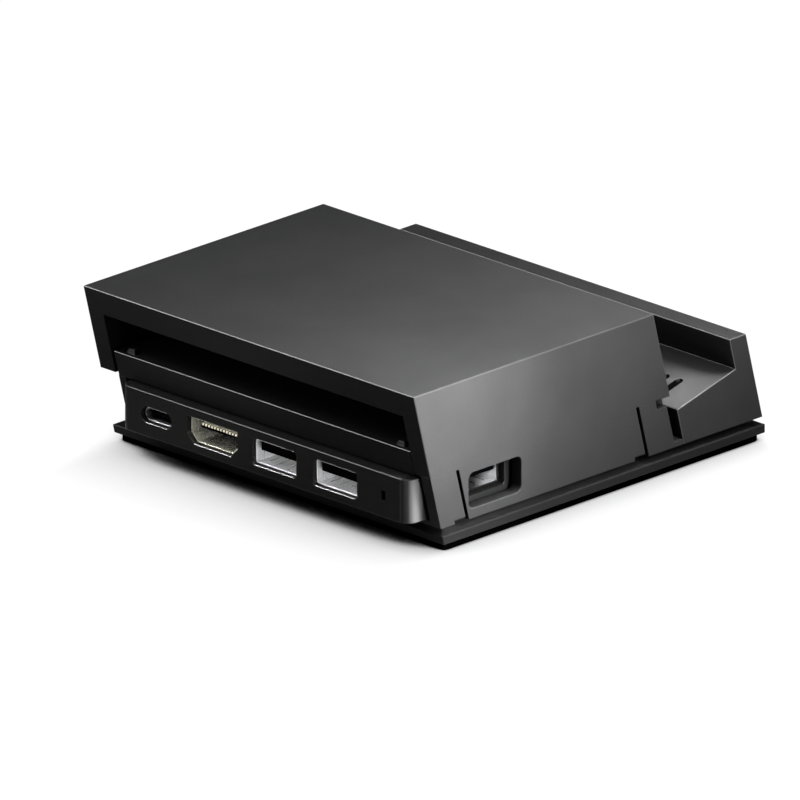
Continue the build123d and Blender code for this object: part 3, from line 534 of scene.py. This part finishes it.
# Studio: pale floor, white surround, soft lamps.
white = grey(1.0)
studio = {
    "floorSize": 6.0,
    "floorColour": grey(0.03),  # what the floor throws back on the dock
    "floorRoughness": 0.9,
    "floorSpecular": 0.1,
    "shadeReach": 0.03,  # the floor is white to the camera, with a painted shadow where the dock stands near
    "shadeLean": (-0.3, 0.3, 0.9),  # towards the lamps' side, where the shade is short
    "shadeLow": 0.385,
    "shadeHigh": 0.49,
    "shadeSamples": 24,
    # Beside the dock's ends and before it the painted shadow is lifted, painted lighter: along, from, to, by
    # how much.
    "clear": (("X", 45.0 * mm, 57.0 * mm, 0.3), ("X", -48.0 * mm, -58.0 * mm, 0.14),
              ("Y", -50.0 * mm, -60.0 * mm, 0.3)),
    "surround": 0.01,  # light that the surround gives
}
lamps = {
    "sideLamp": {"at": (-0.2, 0.0, 0.06), "aim": (-0.051, 0.055, 0.03), "wide": 0.05, "high": 0.05,
                 "spread": 45.0, "power": 0.0316},
    "cornerLamp": {"at": (-0.12, 0.02, 0.07), "aim": (-0.051, 0.055, 0.035), "wide": 0.03, "high": 0.03,
                   "spread": 60.0, "power": 0.0212},
    "bandLamp": {"at": (-0.2, 0.0, 0.12), "aim": (-0.051, 0.01, 0.035), "wide": 0.1, "high": 0.04,
                 "spread": 25.0, "power": 0.0122},
    "topLamp": {"at": (-0.09, -0.02, 0.12), "aim": (-0.04, -0.01, 0.038), "wide": 0.06, "high": 0.06,
                "spread": 180.0, "power": 0.1466},
    "skyLamp": {"at": (0.0, 0.0, 0.8), "aim": (0.0, 0.0, 0.03), "wide": 0.25, "high": 0.25,
                "spread": 25.0, "power": 0.04},
    "ridgeLamp": {"at": (-0.1, 0.0, 0.5), "aim": (-0.05, 0.0, 0.03), "wide": 0.2, "high": 0.1,
                  "spread": 25.0, "power": 0.0211},
    "rimLamp": {"at": (0.4, 0.26, 0.44), "aim": (0.0, 0.05, 0.03), "wide": 0.3, "high": 0.3,
                "spread": 180.0, "power": 17.0, "only": "shine"},
    "frontShine": {"at": (-0.25, -0.45, 0.45), "aim": (-0.05, 0.0, 0.03), "wide": 0.25, "high": 0.25,
                   "spread": 180.0, "power": 1.2, "only": "shine"},
    "portLamp": {"at": (-0.33, 0.43, 0.17), "aim": (0.0, 0.055, 0.012), "wide": 0.1, "high": 0.1,
                 "spread": 60.0, "power": 0.66, "only": "rearPorts"},
    "socketLamp": {"at": (-0.28, 0.36, 0.14), "aim": (-0.047, 0.0296, 0.012), "wide": 0.08, "high": 0.08,
                   "spread": 60.0, "power": 0.4, "only": "sidePort"},
    "hubLamp": {"at": (-0.2, 0.047, 0.02), "aim": (-0.047, 0.047, 0.012), "wide": 0.006, "high": 0.006,
                "spread": 45.0, "power": 0.013, "only": "hub"},
    "troughLamp": {"at": (-0.047, -0.028, 0.075), "aim": (-0.047, -0.031, 0.017), "wide": 0.01, "high": 0.01,
                   "spread": 25.0, "power": 0.002, "only": "trough"},
}
# What a lamp with "only" in its settings lights, apart from "shine", which is highlights alone.
lit = {
    "rearPorts": ("left_data_shell", "left_data_contacts", "right_data_shell", "right_data_contacts",
                  "video_port_shell", "video_port_contacts"),
    "sidePort": ("side_data_shell", "side_data_contacts"),
    "hub": ("hub_case",),
    "trough": ("cradle",),
}
# Dark panels out of the camera's sight, which keep the white surround out of the smooth faces.
flagLook = {"colour": grey(0.02), "roughness": 1.0}
flags = {
    "frontFlag": {"at": (0.5, -0.5, 0.35), "aim": (0.0, 0.0, 0.02), "wide": 1.6, "high": 1.0},
    "rearFlag": {"at": (-0.02, 0.085, 0.003), "aim": (-0.02, 0.085, 0.0), "wide": 0.07, "high": 0.06},
    "endFlag": {"at": (0.09, 0.0, 0.003), "aim": (0.09, 0.0, 0.0), "wide": 0.07, "high": 0.14},
}


def makeSheet(name, wide, high):
    x, y = wide / 2, high / 2
    mesh = bpy.data.meshes.new(name)
    mesh.from_pydata([(-x, -y, 0), (x, -y, 0), (x, y, 0), (-x, y, 0)], [], [(0, 1, 2, 3)])
    return mesh


# 1 for the camera, for reflections and through clear pieces, 0 for the light on the dock.
def shownTo(tree):
    seen = put(tree, "ShaderNodeLightPath").outputs
    shown = calc(tree, "ADD", seen["Is Camera Ray"], seen["Is Glossy Ray"])
    return calc(tree, "ADD", shown, seen["Is Transmission Ray"], clamp=True)


def makeFloor():
    mesh = makeSheet("studioFloor", studio["floorSize"], studio["floorSize"])
    floor = bpy.data.objects.new("studioFloor", mesh)
    bpy.context.scene.collection.objects.link(floor)
    material, tree, shader = newMaterial("paleFloor")
    shader.inputs["Base Color"].default_value = studio["floorColour"]
    shader.inputs["Roughness"].default_value = studio["floorRoughness"]
    shader.inputs["Specular IOR Level"].default_value = studio["floorSpecular"]
    shader.inputs["Emission Color"].default_value = white
    lean = put(tree, "ShaderNodeCombineXYZ", dict(zip("XYZ", studio["shadeLean"]))).outputs[0]
    sky = put(tree, "ShaderNodeAmbientOcclusion", {"Distance": studio["shadeReach"], "Normal": lean},
              samples=studio["shadeSamples"]).outputs["AO"]
    # Painted shadow: the floor's white falls where the dock closes in over it.
    bright = calc(tree, "MULTIPLY", sky, remap(tree, sky, studio["shadeLow"], studio["shadeHigh"]))
    where = spot(tree)
    # Painted light: the floor lighter by place, beside the ends and before the dock.
    for axis, start, end, lift in studio["clear"]:
        lighter = remap(tree, where[axis], start, end, 0.0, lift, "SMOOTHSTEP")
        bright = calc(tree, "ADD", bright, lighter, clamp=True)
    tree.links.new(calc(tree, "MULTIPLY", shownTo(tree), bright), shader.inputs["Emission Strength"])
    mesh.materials.append(material)


def makeSurround():
    world = bpy.data.worlds.new("whiteSurround")
    bpy.context.scene.world = world
    world.use_nodes = True
    tree = world.node_tree
    tree.nodes.clear()
    level = remap(tree, shownTo(tree), 0.0, 1.0, studio["surround"], 1.0)
    glow = put(tree, "ShaderNodeBackground", {"Color": white, "Strength": level})
    out = tree.nodes.new("ShaderNodeOutputWorld")
    tree.links.new(glow.outputs[0], out.inputs["Surface"])


def aimAt(thing, plan):
    thing.location = plan["at"]
    thing.rotation_euler = (Vector(plan["aim"]) - Vector(plan["at"])).to_track_quat("-Z", "Y").to_euler()
    bpy.context.scene.collection.objects.link(thing)


def makeLamp(name, plan):
    data = bpy.data.lights.new(name, "AREA")
    data.shape = "RECTANGLE"
    data.size = plan["wide"]
    data.size_y = plan["high"]
    data.spread = math.radians(plan["spread"])
    data.energy = plan["power"]
    lamp = bpy.data.objects.new(name, data)
    aimAt(lamp, plan)
    if plan.get("only") == "shine":
        lamp.visible_diffuse = False
    elif "only" in plan:
        receivers = bpy.data.collections.new(name)
        for part in lit[plan["only"]]:
            receivers.objects.link(nodes[part])
        lamp.light_linking.receiver_collection = receivers


def makeFlag(name, plan):
    mesh = makeSheet(name, plan["wide"], plan["high"])
    material, tree, shader = newMaterial(name)
    shader.inputs["Base Color"].default_value = flagLook["colour"]
    shader.inputs["Roughness"].default_value = flagLook["roughness"]
    mesh.materials.append(material)
    flag = bpy.data.objects.new(name, mesh)
    flag.visible_camera = False
    flag.visible_diffuse = False
    flag.visible_shadow = False
    aimAt(flag, plan)


makeFloor()
makeSurround()
for name, plan in lamps.items():
    makeLamp(name, plan)
for name, plan in flags.items():
    makeFlag(name, plan)
print("studio lit")

# Camera: far off with a long lens, turned to the photograph's angle.
shot = {
    "azimuth": 224.685,
    "elevation": 20.07,
    "distance": 8.0,
    "aim": (1.11 * mm, 6.517 * mm, 12.142 * mm),
    "lens": 1639.2,
    "sensor": 36.0,
    "clipEnd": 100.0,
}


def makeCamera():
    turn, rise = math.radians(shot["azimuth"]), math.radians(shot["elevation"])
    back = Vector((math.sin(turn) * math.cos(rise), -math.cos(turn) * math.cos(rise), math.sin(rise)))
    data = bpy.data.cameras.new("photoCamera")
    data.lens = shot["lens"]
    data.sensor_width = shot["sensor"]
    data.clip_end = shot["clipEnd"]
    camera = bpy.data.objects.new("photoCamera", data)
    camera.location = Vector(shot["aim"]) + back * shot["distance"]
    camera.rotation_mode = "QUATERNION"
    camera.rotation_quaternion = (-back).to_track_quat("-Z", "Y")
    bpy.context.scene.collection.objects.link(camera)
    bpy.context.scene.camera = camera


makeCamera()
bpy.context.scene.view_settings.view_transform = "Standard"
print("camera set")
